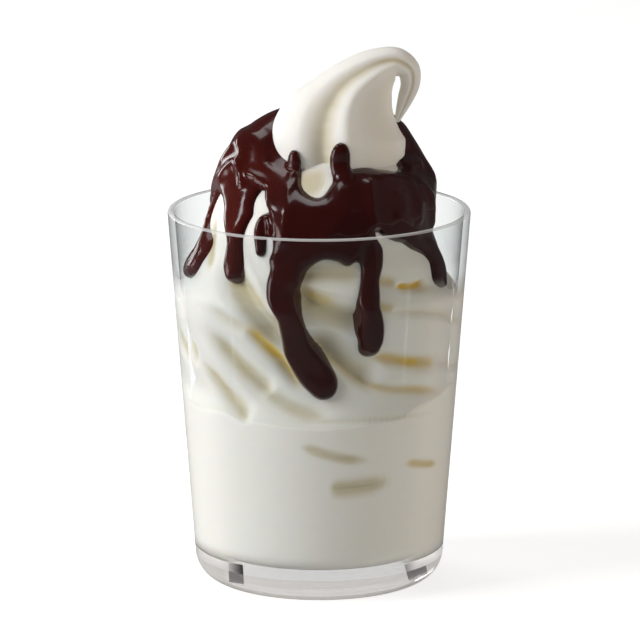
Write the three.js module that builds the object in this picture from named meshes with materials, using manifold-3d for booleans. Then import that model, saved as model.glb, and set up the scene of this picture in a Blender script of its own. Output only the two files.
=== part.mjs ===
// A hot fudge sundae in its clear glass tumbler: soft serve pressed into the
// bottom, coiled above, drawn up to a fluted tip that curls over to the right,
// with thick hot fudge poured round the tip and running down the sides.
//
// Millimetres, +Z up, the axis of the tumbler on Z, its foot on z = 0.
// The front looks along -Y. Angles are in degrees about Z: 0 is the front,
// +90 is +X, 180 is the back and -90 is -X.

import * as THREE from 'three';
import { LoftGeometry } from 'three/addons/geometries/LoftGeometry.js';
import { mergeVertices } from 'three/addons/utils/BufferGeometryUtils.js';
import Module from 'manifold-3d';

// ---------------------------------------------------------------- dimensions

// Tumbler
const glassHeight = 105.8;
const rimRadius = 42.5;
const footRadius = 34.4;
const heelRadius = 8;
const wallThickness = 1.9;
const baseThickness = 9;
const floorFillet = 5;
const glassSides = 40;
const openBelowRim = 4;

// Gap kept between pieces that touch
const gap = 0.3;
const facetGap = 0.15;

// Soft serve below the tip: the mound before the glass presses it flat
const creamFillet = floorFillet + 1.5;
const moundSides = 48;
const pressedRows = [baseThickness + gap, 10.6, baseThickness + floorFillet, 30];
const ridgedRowStep = 3.15;
const topRowStep = 4.3;
const topRows = 6;
const moundStations = [
  { height: 9, radius: 44, shift: 0 },
  { height: 40, radius: 41.5, shift: 0 },
  { height: 50, radius: 38.4, shift: 0 },
  { height: 57, radius: 36.6, shift: 0.9 },
  { height: 64, radius: 37.3, shift: 0.5 },
  { height: 72, radius: 38.2, shift: 0.2 },
  { height: 83, radius: 39, shift: 0 },
  { height: 88, radius: 36.4, shift: -1 },
  { height: 93, radius: 34.4, shift: -1.2 },
  { height: 100, radius: 31.2, shift: -0.8 },
  { height: 106, radius: 29.9, shift: 0.3 },
  { height: 113, radius: 28.4, shift: 2 },
  { height: 119, radius: 26.6, shift: 3.2 },
  { height: 125, radius: 21.6, shift: 4 },
  { height: 130, radius: 14.5, shift: 5.5 },
];

// The cream stands back from the glass across the front, where the longest
// runs come down
const hollowDepth = 6;
const hollowAngle = 2;
const hollowHeight = 72;
const hollowAngleReach = 42;
const hollowHeightReach = 18;

// The coil's ridges run down from the left to the right across the front
const ridgePitch = 12.5;
const ridgePitchSwing = 3.5;
const ridgeDepth = 2.7;
const ridgeDepthSwing = 0.6;
const ridgeDepthTurns = 2.4;
const ridgeDepthLeft = 0.6;
const coveredRidgeDepth = 0.7;
const ridgeFoot = 50;
const ridgeTop = 104;
const ridgeFade = 8.5;
const ridgeHeight = 81.8;
const ridgeDropPerDegree = 0.068;
const plungeDrop = 18;
const plungeAngle = -36;
const plungeWidth = 30;

// The top turn of the coil climbs: low across the front, high round the back
const stepFrom = 100;
const stepTo = 124;
const stepRise = 6.4;
const stepDrop = 2;
const stepFront = 19;
const stepSharpness = 3;

// Fluted tip: its spine leans right and hooks down
const tipSides = 30;
const tipRows = 19;
const tipSpine = [
  { x: 6.4, z: 110, radius: 17 },
  { x: 6.6, z: 120, radius: 16.9 },
  { x: 7.4, z: 129.5, radius: 16.4 },
  { x: 10.1, z: 137.2, radius: 12.2 },
  { x: 13.8, z: 142.8, radius: 8.4 },
  { x: 17.8, z: 146.2, radius: 5.7 },
  { x: 21.6, z: 147.3, radius: 4.2 },
  { x: 24.8, z: 145.3, radius: 3.3 },
  { x: 25.4, z: 141.4, radius: 2.7 },
  { x: 24.1, z: 137.2, radius: 2.2 },
  { x: 22.7, z: 133.4, radius: 1.4 },
  { x: 21.8, z: 130.8, radius: 0.7 },
];

// The tip's section: [angle about its spine, share of the radius]
const tipSection = [
  [-172, 0.99], [-148, 0.87], [-120, 0.98], [-84, 1], [-52, 1.03], [-28, 0.86], [-9, 1.02],
  [14, 0.98], [48, 0.95], [80, 1.02], [112, 0.9], [138, 1], [164, 0.89],
];
const tipSectionStart = 0.1;
// How far the lobes turn to the right, in degrees, at shares of the spine's length
const tipTurns = [[0, 17], [0.15, 11], [0.3, 0], [0.42, 9], [0.55, 15], [1, 20]];

// The tip's foot flares out to the left
const flare = 4;
const flareAngle = -80;
const flareWidth = 48;
const flareRise = 0.27;

// Fudge coat round the tip
const coatSides = 60;
const coatRows = 8;
const coatThickness = 2.4;
const coatRoll = 0.6;
const coatRollTurns = 3;
const coatSink = 1.5;
const coatEdgeSharpness = 5;
const lowEdge = [
  [-180, 101], [-150, 104], [-120, 101], [-95, 106], [-84, 110], [-74, 110], [-62, 111],
  [-56, 116], [-50, 121], [-43, 118.5], [-36, 114], [-29, 106], [-23, 99], [-12, 98], [8, 97.5],
  [20, 97], [32, 104], [38, 102.3], [50, 100.5], [60, 98], [72, 98.5], [90, 103], [115, 100],
  [140, 104], [160, 100],
];
const highEdge = [
  [-180, 129], [-130, 129], [-101, 128.5], [-83, 127], [-72, 128.5], [-60, 129], [-34, 129],
  [-26, 126.6], [-20, 124], [-14, 122.6], [-8, 121.8], [-4, 122.6], [0, 126], [10, 128.5],
  [27, 128], [48, 126.6], [64, 125.4], [76, 128], [92, 128.6], [120, 128],
];

// Runs of fudge: each leaves the coat and follows the cream down through its
// stops of [angle, height, half width], its middle lifted off the cream
const dripSides = 8;
const dripRows = 8;
const dripThickness = 0.62;
const dripEnd = 0.25;
const dripEndBluntness = 0.9;
const dripRowCrowding = 1.5;
const dripStart = 0.25;
const dripStartSink = 2.5;
const dripLift = 0.3;
const drips = [
  {
    lift: 1.6,
    stops: [
      [-84, 114, 1.7], [-87, 108, 1.5], [-84, 103, 1.7], [-75, 98.5, 3], [-74, 94, 4.3],
      [-76, 89.2, 3.6],
    ],
  },
  {
    lift: dripLift,
    stops: [
      [-60, 114, 4.6], [-54, 109, 4.8], [-49, 103.5, 3], [-45.5, 99, 2.8], [-43, 94.2, 3.4],
      [-41.5, 89.8, 3.1],
    ],
  },
  { lift: dripLift, stops: [[-27, 111, 2.6], [-33, 105, 2.2], [-29.5, 97.4, 2.2]] },
  {
    lift: -0.3,
    stops: [[-14, 108, 5], [-13, 98, 5], [-15, 88, 4.9], [-13, 78, 4.4], [-7.5, 70.5, 5.6], [3, 59.4, 5.6]],
  },
  {
    lift: dripLift,
    stops: [[30, 106, 3.8], [30, 98.7, 3], [27, 90, 3.5], [23.6, 80, 4.5], [24.4, 70.2, 4.3]],
  },
  { lift: dripLift, stops: [[66, 107, 4.6], [72, 100, 4.4], [75, 94, 4.3], [69, 85.6, 3]] },
  { lift: dripLift, stops: [[104, 106, 4], [108, 98, 3.4], [110, 90, 3.8]] },
  { lift: dripLift, stops: [[148, 107, 5], [151, 98, 4], [153, 88, 4.2]] },
  { lift: dripLift, stops: [[-166, 106, 4.6], [-163, 98, 3.8], [-162, 91, 4]] },
  { lift: dripLift, stops: [[-118, 106, 4.4], [-116, 97, 3.6], [-113, 88, 4]] },
];

// The outline that the fudge is cut by
const cutterSides = 36;
const cutterRows = 17;
const cutterRowStep = 4.9;
const cutterFoot = 40;
const cutterMargin = 5;

// Fingers of fudge drawn up the tip: [angle, height] of two places on the
// mound, then the angle about the tip's spine and the spine's share they reach
const fingerLift = 0.7;
const fingerBend = 0.65;
const fingers = [
  { foot: [-33, 118], shoulder: [-38, 126], angle: -44, reach: 0.133, halfWidth: 2.5 },
  { foot: [9, 119], shoulder: [6, 126.5], angle: -3, reach: 0.165, halfWidth: 3 },
];

// ------------------------------------------------------------------- helpers

const nearby = 0.02;
const { degToRad, clamp, smoothstep, euclideanModulo } = THREE.MathUtils;
const wasm = await Module();
wasm.setup();

// A closed geometry as a solid that can be joined and cut
function solid(geometry) {
  const plain = new THREE.BufferGeometry().copy(geometry);
  plain.deleteAttribute('normal');
  plain.deleteAttribute('uv');
  const merged = mergeVertices(plain, 1e-4);
  const corners = merged.index.array;
  const kept = [];
  for (let i = 0; i < corners.length; i += 3) {
    const [a, b, c] = corners.subarray(i, i + 3);
    if (a !== b && b !== c && c !== a) kept.push(a, b, c);
  }
  const vertProperties = merged.getAttribute('position').array;
  const triVerts = new Uint32Array(kept);
  return new wasm.Manifold(new wasm.Mesh({ numProp: 3, vertProperties, triVerts }));
}

// The largest body of a solid, without the slivers that a cut can leave
function largest(cutSolid) {
  return cutSolid.decompose().reduce((a, b) => (a.volume() > b.volume() ? a : b));
}

// A named mesh of a solid
function part(name, shape, material) {
  const { vertProperties, triVerts } = shape.getMesh();
  const geometry = new THREE.BufferGeometry();
  geometry.setAttribute('position', new THREE.BufferAttribute(vertProperties, 3));
  geometry.setIndex(new THREE.BufferAttribute(triVerts, 1));
  geometry.computeVertexNormals();
  const mesh = new THREE.Mesh(geometry, material);
  mesh.name = name;
  return mesh;
}

// A value at one height, joined smoothly through the stations
function atHeight(stations, height, name) {
  const last = stations.length - 1;
  const h = clamp(height, stations[0].height, stations[last].height);
  const i = clamp(stations.findIndex((s) => s.height >= h) - 1, 0, last - 1);
  const slope = (j) => {
    const below = stations[Math.max(j - 1, 0)];
    const above = stations[Math.min(j + 1, last)];
    return (above[name] - below[name]) / (above.height - below.height);
  };
  const [from, to] = [stations[i], stations[i + 1]];
  const span = to.height - from.height;
  const t = (h - from.height) / span;
  const start = (2 * t - 3) * t * t + 1;
  const bend = ((t - 2) * t + 1) * t * span * slope(i);
  const lift = (t - 1) * t * t * span * slope(i + 1);
  return start * from[name] + (1 - start) * to[name] + bend + lift;
}

// A value round the axis, joined smoothly through [angle, value] pairs
function roundAxis(pairs, angle) {
  const stations = pairs.map(([height, value]) => ({ height, value }));
  const [first, second] = stations;
  const [beforeLast, last] = stations.slice(-2);
  stations.unshift({ ...last, height: last.height - 360 });
  stations.unshift({ ...beforeLast, height: beforeLast.height - 360 });
  stations.push({ ...first, height: first.height + 360 });
  stations.push({ ...second, height: second.height + 360 });
  return atHeight(stations, euclideanModulo(angle + 180, 360) - 180, 'value');
}

// A value along the tip's spine, joined smoothly through [share, value] pairs
function alongSpine(pairs, t) {
  return atHeight(pairs.map(([height, value]) => ({ height, value })), t, 'value');
}

// The unit vector that points out from the axis at an angle
function outward(angle) {
  return new THREE.Vector3(Math.sin(degToRad(angle)), -Math.cos(degToRad(angle)), 0);
}

// Evenly spaced angles all the way round
function anglesRound(sides) {
  return Array.from({ length: sides }, (_, i) => (360 * i) / sides - 180);
}

// ------------------------------------------------------------------- tumbler

const lean = Math.atan2(rimRadius - footRadius, glassHeight);
const wallAcross = wallThickness / Math.cos(lean);

// Radius of the inside of the tumbler's straight wall
function innerRadius(height) {
  return footRadius - wallAcross + Math.tan(lean) * height;
}

// Points of an arc in the tumbler's section, from one angle to another
function arc(centreRadius, centreHeight, radius, from, to, steps) {
  return Array.from({ length: steps + 1 }, (_, i) => {
    const a = from + ((to - from) * i) / steps;
    return new THREE.Vector2(centreRadius + radius * Math.cos(a), centreHeight + radius * Math.sin(a));
  });
}

// Where the centre of a fillet sits, between a level and a leaning wall
function filletCentre(wallRadiusAtFoot, level, radius) {
  const rise = (level + radius) * Math.sin(lean);
  return wallRadiusAtFoot - (radius - rise) / Math.cos(lean);
}

function tumbler() {
  const quarter = Math.PI / 2;
  const heel = filletCentre(footRadius, 0, heelRadius);
  const floorEdge = filletCentre(innerRadius(0), baseThickness, floorFillet);
  const lip = wallThickness / 2;
  const lipHeight = glassHeight - lip;
  const lipRadius = (footRadius + innerRadius(0)) / 2 + Math.tan(lean) * lipHeight;
  const profile = [
    new THREE.Vector2(0, 0),
    ...arc(heel, heelRadius, heelRadius, -quarter, -lean, 4),
    ...arc(lipRadius, lipHeight, lip, -lean, Math.PI - lean, 4),
    ...arc(floorEdge, baseThickness + floorFillet, floorFillet, -lean, -quarter, 3),
    new THREE.Vector2(0, baseThickness),
  ];
  return solid(new THREE.LatheGeometry(profile, glassSides).rotateX(quarter));
}

// ---------------------------------------------------------------- soft serve

// Radius that the glass leaves free for the cream, with its own fillet at the floor
function roomRadius(height) {
  const centre = filletCentre(innerRadius(0), baseThickness, creamFillet);
  const up = Math.max(baseThickness + creamFillet - height, 0);
  const filleted = centre + Math.sqrt(Math.max(creamFillet ** 2 - up ** 2, 0));
  return (up > 0 ? filleted : innerRadius(height)) - gap - facetGap;
}

// How far a ridge's side falls below its crest
function ridgeFall(angle, height) {
  const plunge = plungeDrop * Math.tanh((angle - plungeAngle) / plungeWidth);
  const groove = ridgeHeight - ridgeDropPerDegree * angle - plunge;
  const pitch = ridgePitch - ridgePitchSwing * Math.sin(degToRad(angle));
  const phase = (height - groove) / pitch;
  const uncovered = 1 - smoothstep(height, ridgeTop - ridgeFade, ridgeTop);
  const swing = ridgeDepthSwing * Math.sin(ridgeDepthTurns * phase);
  const open = ridgeDepth + swing - ridgeDepthLeft * Math.sin(degToRad(angle));
  const depth = coveredRidgeDepth + (open - coveredRidgeDepth) * uncovered;
  const grown = smoothstep(height, ridgeFoot, ridgeFoot + ridgeFade);
  return grown * depth * (1 - Math.abs(Math.sin(Math.PI * phase)));
}

// How far the cream stands back behind the longest run of fudge
function hollow(angle, height) {
  const across = (angle - hollowAngle) / hollowAngleReach;
  const up = (height - hollowHeight) / hollowHeightReach;
  return hollowDepth * Math.exp(-(across ** 2) - up ** 2);
}

// How far the climb of the top turn lifts or lowers a point
function stepLift(angle, height) {
  const climb = Math.tanh(-stepSharpness * Math.cos(degToRad(angle - stepFront)));
  return (stepRise * climb - stepDrop) * smoothstep(height, stepFrom, stepTo);
}

// A point on the cream, or outside it by a clearance
function moundPoint(angle, height, clearance, ridged = true) {
  const fall = ridged ? ridgeFall(angle, height) : 0;
  const shift = atHeight(moundStations, height, 'shift');
  const crest = atHeight(moundStations, height, 'radius') - fall - hollow(angle, height);
  const point = outward(angle).multiplyScalar(crest);
  point.x += shift;
  const room = roomRadius(height);
  if (height < glassHeight - openBelowRim && point.length() > room) point.setLength(room);
  point.setLength(point.length() + clearance);
  point.z = height + stepLift(angle, height);
  return point;
}

// Heights of the mound's rows: few where it is pressed flat, close where ridged
function moundHeights() {
  const last = moundStations.at(-1).height;
  const top = Array.from({ length: topRows }, (_, i) => last - i * topRowStep).reverse();
  const ridged = [];
  for (let h = ridgeFoot - ridgedRowStep; h < top[0] - 1; h += ridgedRowStep) ridged.push(h);
  return [...pressedRows, ...ridged, ...top];
}

function mound() {
  const rings = moundHeights().map((height) =>
    anglesRound(moundSides).map((angle) => moundPoint(angle, height, 0)),
  );
  return solid(new LoftGeometry(rings, { capStart: true, capEnd: true }));
}

const spine = new THREE.CatmullRomCurve3(tipSpine.map(({ x, z }) => new THREE.Vector3(x, 0, z)));
const girth = new THREE.SplineCurve(tipSpine.map(({ radius }, i) => new THREE.Vector2(i, radius)));

// A point on the tip, at an angle about its spine
function tipPoint(angle, t, clearance) {
  const front = new THREE.Vector3(0, -1, 0);
  const right = spine.getTangent(t).cross(front);
  const radius = girth.getPoint(t).y;
  const share = roundAxis(tipSection, angle - alongSpine(tipTurns, t));
  const lobed = 1 + (share - 1) * smoothstep(t, 0, tipSectionStart);
  const toLeft = Math.exp(-(((angle - flareAngle) / flareWidth) ** 2));
  const flared = flare * toLeft * (1 - smoothstep(t, 0, flareRise));
  const reach = radius * lobed + flared + clearance;
  const a = degToRad(angle);
  return spine
    .getPoint(t)
    .addScaledVector(front, reach * Math.cos(a))
    .addScaledVector(right, reach * Math.sin(a));
}

function tip(clearance) {
  const rings = Array.from({ length: tipRows + 1 }, (_, i) =>
    anglesRound(tipSides).map((angle) => tipPoint(angle, i / tipRows, clearance)),
  );
  return solid(new LoftGeometry(rings, { capStart: true, capEnd: true }));
}

function softServe() {
  return mound().add(tip(0));
}

// The cream's outline at its crests with a gap round it, for cutting the fudge
function creamCutter() {
  const clearance = gap + facetGap;
  const last = moundStations.at(-1).height;
  const heights = Array.from({ length: cutterRows }, (_, i) => last - i * cutterRowStep).reverse();
  const rings = heights.map((height) =>
    anglesRound(cutterSides).map((angle) => moundPoint(angle, height, clearance, false)),
  );
  const body = solid(new LoftGeometry(rings, { capStart: true, capEnd: true }));
  return body.add(tip(clearance));
}

// --------------------------------------------------------------------- fudge

// The coat's skin follows the cream from its low edge to its high edge, and
// dives into the cream at both, so that the cut leaves a full rounded edge
function coat() {
  const rings = Array.from({ length: coatRows + 1 }, (_, i) => {
    const v = (1 - Math.cos((Math.PI * i) / coatRows)) / 2;
    const full = (1 - Math.abs(2 * v - 1) ** coatEdgeSharpness) ** (1 / coatEdgeSharpness);
    return anglesRound(coatSides).map((angle) => {
      const low = roundAxis(lowEdge, angle);
      const height = low + (roundAxis(highEdge, angle) - low) * v;
      const roll = Math.sin(coatRollTurns * degToRad(angle) + Math.PI * v);
      const thickness = coatThickness + coatRoll * roll;
      return moundPoint(angle, height, (thickness + coatSink) * full - coatSink, false);
    });
  });
  return solid(new LoftGeometry(rings, { capStart: true, capEnd: true }));
}

// A run of fudge along a path of centres, with a full round end. The path
// gives the centre, the way out of the cream and the half width at t.
function run(path) {
  const rings = Array.from({ length: dripRows + 1 }, (_, i) => {
    const t = 1 - (1 - i / dripRows) ** dripRowCrowding;
    const { centre, out, halfWidth } = path(t);
    const along = path(Math.min(t + nearby, 1)).centre.sub(path(Math.max(t - nearby, 0)).centre);
    const side = along.cross(out).normalize();
    const pastStart = Math.max(0, (t - 1 + dripEnd) / dripEnd);
    const round = Math.sqrt(1 - dripEndBluntness * pastStart ** 2);
    return Array.from({ length: dripSides }, (_, j) => {
      const a = (2 * Math.PI * j) / dripSides;
      return centre
        .clone()
        .addScaledVector(out, halfWidth * dripThickness * round * Math.cos(a))
        .addScaledVector(side, halfWidth * round * Math.sin(a));
    });
  });
  return solid(new LoftGeometry(rings, { capStart: true, capEnd: true }));
}

// One run of fudge down the cream, its start sunk under the coat
function drip({ lift, stops }) {
  const route = new THREE.CatmullRomCurve3(stops.map((stop) => new THREE.Vector3(...stop)));
  return run((t) => {
    const { x: angle, y: height, z: halfWidth } = route.getPoint(t);
    const sunk = dripStartSink * (1 - smoothstep(t, 0, dripStart));
    return { centre: moundPoint(angle, height, lift - sunk, false), out: outward(angle), halfWidth };
  });
}

// A finger of fudge from the mound's shoulder up the tip's cone
function finger({ foot, shoulder, angle, reach, halfWidth }) {
  const route = new THREE.CatmullRomCurve3([
    moundPoint(...foot, fingerLift, false),
    moundPoint(...shoulder, fingerLift, false),
    tipPoint(angle, fingerBend * reach, fingerLift),
    tipPoint(angle, reach, fingerLift),
  ]);
  return run((t) => ({ centre: route.getPoint(t), out: outward(angle), halfWidth }));
}

// The glass with a gap round it, which no fudge may enter
function tumblerCutter() {
  const top = glassHeight + gap;
  const inside = (height) => new THREE.Vector2(innerRadius(height) - gap - facetGap, height);
  const outside = (height) => new THREE.Vector2(rimRadius + cutterMargin, height);
  const profile = [inside(cutterFoot), outside(cutterFoot), outside(top), inside(top), inside(cutterFoot)];
  return solid(new THREE.LatheGeometry(profile, glassSides).rotateX(Math.PI / 2));
}

function fudge() {
  const poured = [...drips.map(drip), ...fingers.map(finger)];
  const whole = poured.reduce((sum, piece) => sum.add(piece), coat());
  return largest(whole.subtract(creamCutter()).subtract(tumblerCutter()));
}

// ------------------------------------------------------------------ assembly

const clearGlass = new THREE.MeshStandardMaterial({
  color: 0xe8efec,
  roughness: 0.03,
  metalness: 0,
  transparent: true,
  opacity: 0.25,
});
const cream = new THREE.MeshStandardMaterial({ color: 0xf3efe4, roughness: 0.45, metalness: 0 });
const hotFudge = new THREE.MeshStandardMaterial({ color: 0x2b0a07, roughness: 0.12, metalness: 0 });

const sundae = new THREE.Group();
sundae.add(part('glass', tumbler(), clearGlass));
sundae.add(part('soft_serve', softServe(), cream));
sundae.add(part('hot_fudge', fudge(), hotFudge));

export default sundae;
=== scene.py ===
"""A hot fudge sundae in a clear glass tumbler.

Soft serve fills the foot of the glass, is coiled in slanting folds above it and
drawn up to a fluted tip that curls over. Thick hot fudge is poured round the
tip and runs down the cream. Shapes are worked out in millimetres, with angles
in degrees about Z: 0 is the front (-Y), 90 is +X, 180 the back, -90 is -X.
"""

import math

import bpy
import numpy as np
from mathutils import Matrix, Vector


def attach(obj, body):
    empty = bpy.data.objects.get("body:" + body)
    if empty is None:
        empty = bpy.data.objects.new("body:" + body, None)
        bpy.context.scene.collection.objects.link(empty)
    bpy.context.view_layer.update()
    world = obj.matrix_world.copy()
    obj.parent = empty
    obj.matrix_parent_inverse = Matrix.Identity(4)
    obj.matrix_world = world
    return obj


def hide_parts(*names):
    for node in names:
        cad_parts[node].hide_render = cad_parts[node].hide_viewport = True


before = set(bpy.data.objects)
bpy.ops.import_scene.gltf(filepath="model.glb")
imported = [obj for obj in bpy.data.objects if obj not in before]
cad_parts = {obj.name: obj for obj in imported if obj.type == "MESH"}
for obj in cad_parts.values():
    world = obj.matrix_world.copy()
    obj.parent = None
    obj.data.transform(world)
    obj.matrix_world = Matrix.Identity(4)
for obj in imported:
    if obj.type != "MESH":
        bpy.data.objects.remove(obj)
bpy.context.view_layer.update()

MM = 0.001

# ------------------------------------------------------------------- sizes

GLASS_HEIGHT = 105.8
RIM_RADIUS = 42.5
FOOT_RADIUS = 34.4
HEEL_RADIUS = 8.0
WALL = 1.9
BASE = 9.0
FLOOR_FILLET = 5.0
INTO_WALL = 0.15
LEAN = math.atan2(RIM_RADIUS - FOOT_RADIUS, GLASS_HEIGHT)

# The cream's mound: height, radius of its crests, shift to the right
MOUND = np.array(
    [
        (9, 44, 0), (40, 41.5, 0), (50, 38.4, 0), (57, 36.6, 0.9), (64, 37.3, 0.5),
        (72, 38.2, 0.2), (83, 39, 0), (88, 36.4, -1), (93, 34.4, -1.2), (100, 31.2, -0.8),
        (106, 29.9, 0.3), (113, 28.4, 2), (119, 26.6, 3.2), (125, 21.6, 4), (130, 14.5, 5.5),
    ]
)
COIL_TOP = 130
OPEN_FROM = GLASS_HEIGHT - 4
HOLLOW = {"depth": 6, "angle": 2, "height": 72, "wide": 42, "tall": 18}

# The coil's folds, which run down from the left to the right across the front
FOLDS = {
    "Pitch": 12.5,
    "Pitch swing": 3.5,
    "Depth": 2.9,
    "Depth swing": 0.6,
    "Depth turns": 2.513,
    "Depth left": 0.6,
    "Covered depth": 0.7,
    "Foot": 50.0,
    "Top": 104.0,
    "Fade": 8.5,
    "Height": 81.8,
    "Drop per degree": 0.0736,
    "Plunge": 18.0,
    "Plunge angle": -36.0,
    "Plunge width": 30.0,
}
MM_PER_DEGREE = 0.65  # across the front of the coil
# Across the front each fold is drawn by its own crease: depth, reach above and
# below it, how much khaki painted shade and how much amber painted shade it
# lays on the cream, stops of angle and height
FRONT = {"from": 96, "to": 130, "kept": 0.15}
CREASES = (
    # High up, beside and under the fudge
    (0.4, 7.0, 6.0, 1.2, 0.0, ((-62, 126), (-46, 125), (-30, 124.4), (-14, 125), (2, 126))),
    (1.1, 3.4, 3.0, 0.8, 0.25, ((-80, 107), (-71, 101), (-63, 95.6), (-55, 91))),
    # The slanting folds on the left
    (3.0, 6.0, 7.0, 1.6, 0.0, ((-50, 99), (-42, 92.6), (-34, 87), (-27, 81.6), (-20, 76.6), (-12, 71))),
    (1.1, 4.4, 3.0, 0.7, 0.2, ((-50, 93), (-43, 90), (-36, 88), (-28, 86.4), (-20, 84))),
    (0.9, 4.0, 4.0, 0.6, 0.0, ((-54, 84), (-46, 80.6), (-38, 79), (-31, 78))),
    (
        1.6, 2.6, 3.4, 0.8, 1.3,
        ((-38, 79.5), (-33, 77.4), (-28, 74.8), (-23, 72), (-19, 69.4), (-12, 64), (-6, 60)),
    ),
    (
        3.0, 5.6, 4.0, 1.0, 0.05,
        (
            (-60, 79), (-53, 74), (-47, 70.4), (-41, 67), (-36, 64.4), (-30, 61.6), (-25, 60),
            (-20, 59.4),
        ),
    ),
    (1.3, 4.0, 4.0, 0.8, 0.0, ((-86, 74), (-77, 70), (-71, 67.6), (-66, 63))),
    (
        2.4, 4.6, 2.2, 0.9, 0.1,
        ((-68, 69), (-61, 64), (-55, 60.6), (-48, 57.2), (-41, 54.6), (-35, 52.4), (-31, 51)),
    ),
    (1.4, 4.0, 3.6, 0.8, 0.0, ((-34, 61.6), (-28, 60), (-20, 57.6), (-12, 55.6), (-2, 54.2), (10, 53.6))),
    # The shaded hollow between the two long runs of fudge
    (
        4.2, 6.0, 9.0, 1.0, 0.0,
        ((-16, 93), (-10, 89.4), (-4, 86.4), (2, 84.4), (9, 83), (16, 82), (24, 81.4), (32, 81)),
    ),
    (1.6, 6.0, 5.0, 1.0, 0.0, ((-16, 93), (-8, 93.6), (0, 94), (10, 94), (20, 93.6), (30, 93))),
    (0.4, 2.4, 5.0, 0.5, 0.9, ((-12, 91.6), (-7, 90), (-2, 88.4), (4, 87), (12, 85.8))),
    (
        4.0, 12.0, 2.6, 0.9, 0.2,
        ((-12, 80), (-5, 76), (2, 72), (8, 68.8), (14, 65.8), (19, 63.8), (25, 61.6), (33, 60)),
    ),
    # The level layers on the right
    (2.4, 1.6, 1.7, 0.5, 1.6, ((38, 89.4), (45, 88.7), (51, 88.2), (56, 88.4), (60, 89.8))),
    (0.7, 3.0, 3.0, 0.5, 0.6, ((28, 92), (34, 91), (42, 90.4))),
    (0.7, 3.0, 3.0, 0.5, 0.6, ((24, 86), (30, 84.4), (37, 83.6))),
    (1.4, 5.0, 1.8, 0.4, 0.1, ((28, 84), (38, 82.6), (50, 81.4), (62, 79.4), (74, 76.6), (86, 75))),
    (2.0, 3.4, 3.4, 0.7, 1.1, ((20, 70.8), (30, 69.8), (38, 68.6), (46, 67.4), (54, 66.6), (62, 66.2))),
    (1.2, 4.0, 2.4, 0.3, 0.0, ((54, 67), (66, 65), (76, 63.4), (86, 63))),
    (1.4, 3.0, 2.4, 0.5, 0.6, ((16, 63.8), (25, 61.8), (34, 60.4), (44, 59.6), (54, 58.6), (66, 57))),
    # Low down, where the cream lies flat against the glass
    (0.6, 2.4, 1.0, 0.5, 0.0, ((-26, 53.4), (-6, 52.8), (16, 52.6), (44, 52.2), (80, 51))),
    (0.5, 3.0, 3.0, 1.1, 0.0, ((-12, 46.4), (-5, 45.6), (2, 44), (9, 42.8), (17, 41.8), (30, 41))),
    (0.5, 4.8, 4.8, 1.1, 0.0, ((2, 34.4), (8, 34), (16, 34), (26, 34.4), (42, 35.4))),
    (0.4, 2.2, 2.2, 1.0, 0.5, ((40, 39.2), (48, 38.4), (56, 37.4), (68, 36))),
)

# The top turn climbs: low across the front, high round the back
STEP = {"from": 100, "to": 124, "rise": 6.4, "drop": 2, "front": 19, "sharp": 3}

# The tip's spine: x, z, radius
TIP = np.array(
    [
        (6.4, 110, 17), (6.6, 120, 16.9), (7.4, 129.5, 16.4), (10.1, 137.2, 12.2),
        (13.8, 142.8, 8.4), (17.8, 146.2, 5.7), (21.6, 147.3, 4.2), (24.8, 145.3, 3.3),
        (25.4, 141.4, 2.7), (24.1, 137.2, 2.2), (22.7, 133.4, 1.4), (21.8, 130.8, 0.7),
    ]
)
# Its section: angle about the spine, share of the radius
TIP_SECTION = (
    (-172, 0.99), (-148, 0.86), (-120, 0.98), (-84, 1), (-62, 1.02), (-54, 1.025), (-49, 0.99),
    (-44, 0.935), (-39, 0.885), (-35, 0.862), (-31, 0.868), (-26, 0.9), (-20, 0.95), (-15, 0.995),
    (-10, 1.03), (-6, 1.03), (0, 1.0), (14, 0.96), (48, 0.95), (80, 1.02), (112, 0.9), (138, 1),
    (164, 0.88),
)
# How far the lobes turn to the right at shares of the spine's length
TIP_TURNS = np.array([(0, 17), (0.15, 11), (0.3, 0), (0.42, 9), (0.55, 15), (1, 20)])
FLARE = {"reach": 4, "angle": -80, "wide": 40, "from": 0.12, "to": 0.32}
RIBBON = {"from": 0.56, "to": 0.74, "flat": 0.5}

# Where the fudge's coat ends on the mound: angle, height
LOW_EDGE = (
    (-180, 101), (-150, 104), (-120, 101), (-100, 105), (-88, 110), (-78, 111), (-66, 111),
    (-54, 112), (-46, 112), (-36, 108), (-28, 102), (-22, 97), (-12, 96), (-3, 96),
    (4, 97.6), (12, 97), (17, 95.6), (21, 97), (26, 100), (33, 104.6), (38, 102.2), (44, 101),
    (50, 100.2), (58, 97.6), (66, 96.6), (76, 98), (90, 103), (115, 100), (140, 104), (160, 100),
)
HIGH_EDGE = (
    (-180, 129), (-130, 129), (-101, 129), (-89, 128.6), (-77, 129.4), (-60, 129.6),
    (-50, 129.4), (-38, 128), (-30, 127), (-24, 124.6), (-18, 123), (-11, 121.9), (-6, 122.4),
    (-2, 125), (3, 128.5), (12, 129.2), (27, 129), (40, 128), (50, 127.4), (60, 126.6),
    (66, 127), (74, 129.2), (90, 129.6), (120, 129),
)
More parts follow.
